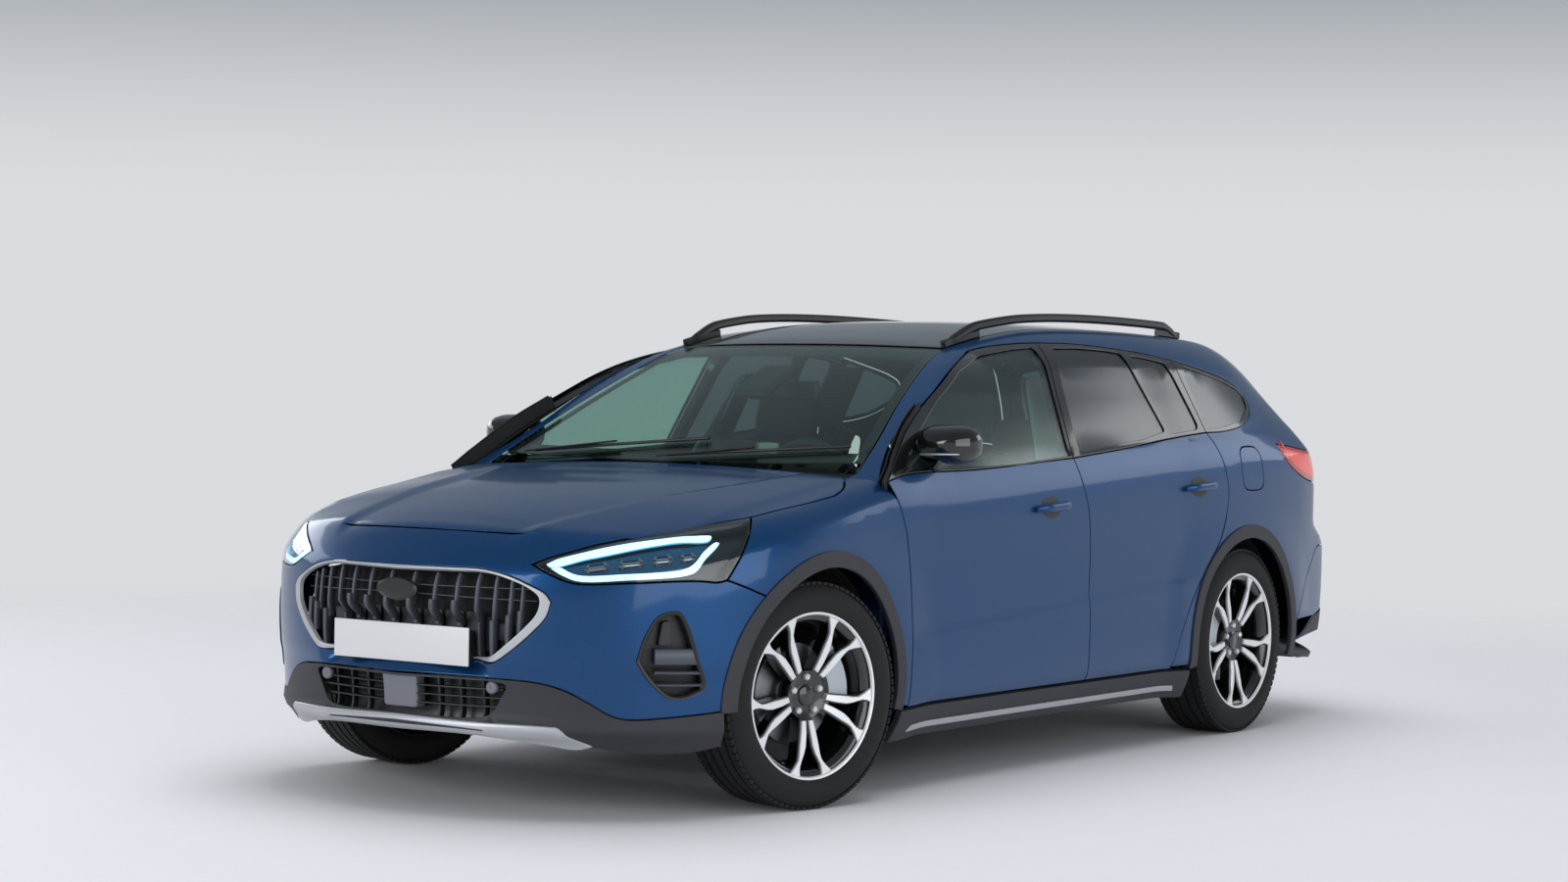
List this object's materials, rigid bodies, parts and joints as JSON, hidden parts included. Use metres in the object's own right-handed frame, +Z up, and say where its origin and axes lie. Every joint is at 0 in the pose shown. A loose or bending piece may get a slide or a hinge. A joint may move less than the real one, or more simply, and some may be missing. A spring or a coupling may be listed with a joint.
{
  "type": "station wagon",
  "caption": "Compact station wagon with plastic-clad arches, roof rails, opening doors, bonnet and tailgate, steered front wheels and a hollow cabin.",
  "frame": {"origin": "on the floor, under the middle of the overall bounding box", "axes": "+X towards the nose, +Y towards the car's left side, +Z up"},
  "size_m": [4.6795, 1.9432, 1.5148],
  "materials": {
    "paint": "metallic blue clear-coated paint",
    "roof_paint": "gloss black paint",
    "cladding": "grained dark grey plastic",
    "black_trim": "gloss black plastic",
    "grille_trim": "dark and bright plastic",
    "lamp": "clear lamp cover",
    "tail_lamp": "red lamp cover",
    "window": "tinted glass",
    "frame_steel": "black chassis paint",
    "cast": "cast and machined metal",
    "exhaust_steel": "stainless steel",
    "wheel": "dark painted alloy",
    "tyre": "rubber",
    "interior": "dark moulded plastic",
    "cloth": "woven dark seat cloth"
  },
  "bodies": {
    "body": {"floor_pan": "frame_steel", "bulkhead": "frame_steel", "engine": "cast", "front_frame": "frame_steel", "body_sides": "paint", "roof_panel": "roof_paint", "front_fenders": "paint", "front_bumper": "paint", "radiator_grille": "grille_trim", "headlamps": "lamp", "rear_bumper": "cladding", "tail_lamps": "tail_lamp", "fixed_windows": "window", "dashboard": "interior", "front_seats": "cloth", "rear_seat": "cloth", "wheel_arch_liners": "interior", "rear_axle": "frame_steel", "roof_rails": "black_trim", "exhaust": "exhaust_steel", "arch_cladding": "cladding"},
    "steering_knuckle_left": {"knuckle_left": "cast"},
    "front_wheel_left": {"front_wheel_left": "wheel", "front_tyre_left": "tyre"},
    "rear_wheel_left": {"rear_wheel_left": "wheel", "rear_tyre_left": "tyre"},
    "front_door_left": {"front_door_left": "paint", "front_door_glass_left": "window", "door_mirror_left": "black_trim"},
    "rear_door_left": {"rear_door_left": "paint", "rear_door_glass_left": "window"},
    "steering_knuckle_right": {"knuckle_right": "cast"},
    "front_wheel_right": {"front_wheel_right": "wheel", "front_tyre_right": "tyre"},
    "rear_wheel_right": {"rear_wheel_right": "wheel", "rear_tyre_right": "tyre"},
    "front_door_right": {"front_door_right": "paint", "front_door_glass_right": "window", "door_mirror_right": "black_trim"},
    "rear_door_right": {"rear_door_right": "paint", "rear_door_glass_right": "window"},
    "bonnet": {"bonnet": "paint"},
    "tailgate": {"tailgate": "paint"},
    "fuel_flap": {"fuel_flap": "paint"},
    "steering_wheel": {"steering_wheel": "interior"}
  },
  "joints": [
    {"name": "steer_left", "type": "hinge", "parent": "body", "child": "steering_knuckle_left", "pos_m": [1.445, 0.722, 0.336], "axis": [0, 0, 1], "range_deg": [-23, 47]},
    {"name": "steer_right", "type": "hinge", "parent": "body", "child": "steering_knuckle_right", "pos_m": [1.445, -0.722, 0.336], "axis": [0, 0, 1], "range_deg": [-23, 47]},
    {"name": "front_wheel_left_spin", "type": "hinge", "parent": "steering_knuckle_left", "child": "front_wheel_left", "pos_m": [1.45831, 0.7846, 0.336], "axis": [0.2079, 0.9781, 0], "continuous": true},
    {"name": "rear_wheel_left_spin", "type": "hinge", "parent": "body", "child": "rear_wheel_left", "pos_m": [-1.255, 0.786, 0.336], "axis": [0, 1, 0], "continuous": true},
    {"name": "front_wheel_right_spin", "type": "hinge", "parent": "steering_knuckle_right", "child": "front_wheel_right", "pos_m": [1.43169, -0.7846, 0.336], "axis": [0.2079, 0.9781, 0], "continuous": true},
    {"name": "rear_wheel_right_spin", "type": "hinge", "parent": "body", "child": "rear_wheel_right", "pos_m": [-1.255, -0.786, 0.336], "axis": [0, 1, 0], "continuous": true},
    {"name": "front_door_left", "type": "hinge", "parent": "body", "child": "front_door_left", "pos_m": [0.95, 0.884, 0.6], "axis": [0, 0, -1], "range_deg": [0, 68]},
    {"name": "rear_door_left", "type": "hinge", "parent": "body", "child": "rear_door_left", "pos_m": [-0.16, 0.889, 0.6], "axis": [0, 0, -1], "range_deg": [0, 70]},
    {"name": "front_door_right", "type": "hinge", "parent": "body", "child": "front_door_right", "pos_m": [0.95, -0.884, 0.6], "axis": [0, 0, 1], "range_deg": [0, 68]},
    {"name": "rear_door_right", "type": "hinge", "parent": "body", "child": "rear_door_right", "pos_m": [-0.16, -0.889, 0.6], "axis": [0, 0, 1], "range_deg": [0, 70]},
    {"name": "bonnet", "type": "hinge", "parent": "body", "child": "bonnet", "pos_m": [1.13, 0, 1.003], "axis": [0, -1, 0], "range_deg": [0, 50]},
    {"name": "tailgate", "type": "hinge", "parent": "body", "child": "tailgate", "pos_m": [-1.842, 0, 1.426], "axis": [0, 1, 0], "range_deg": [0, 82]},
    {"name": "fuel_flap", "type": "hinge", "parent": "body", "child": "fuel_flap", "pos_m": [-1.203, 0.914, 0.971], "axis": [0, 0, -1], "range_deg": [0, 80]},
    {"name": "steering_wheel", "type": "hinge", "parent": "body", "child": "steering_wheel", "pos_m": [0.733, 0.37, 0.9], "axis": [-0.9135, 0, 0.4067], "range_deg": [-299, 611]}
  ],
  "couplings": [
    {"joint": "steer_right", "follows": "steer_left", "ratio": 1},
    {"joint": "steering_wheel", "follows": "steer_left", "ratio": 13}
  ]
}
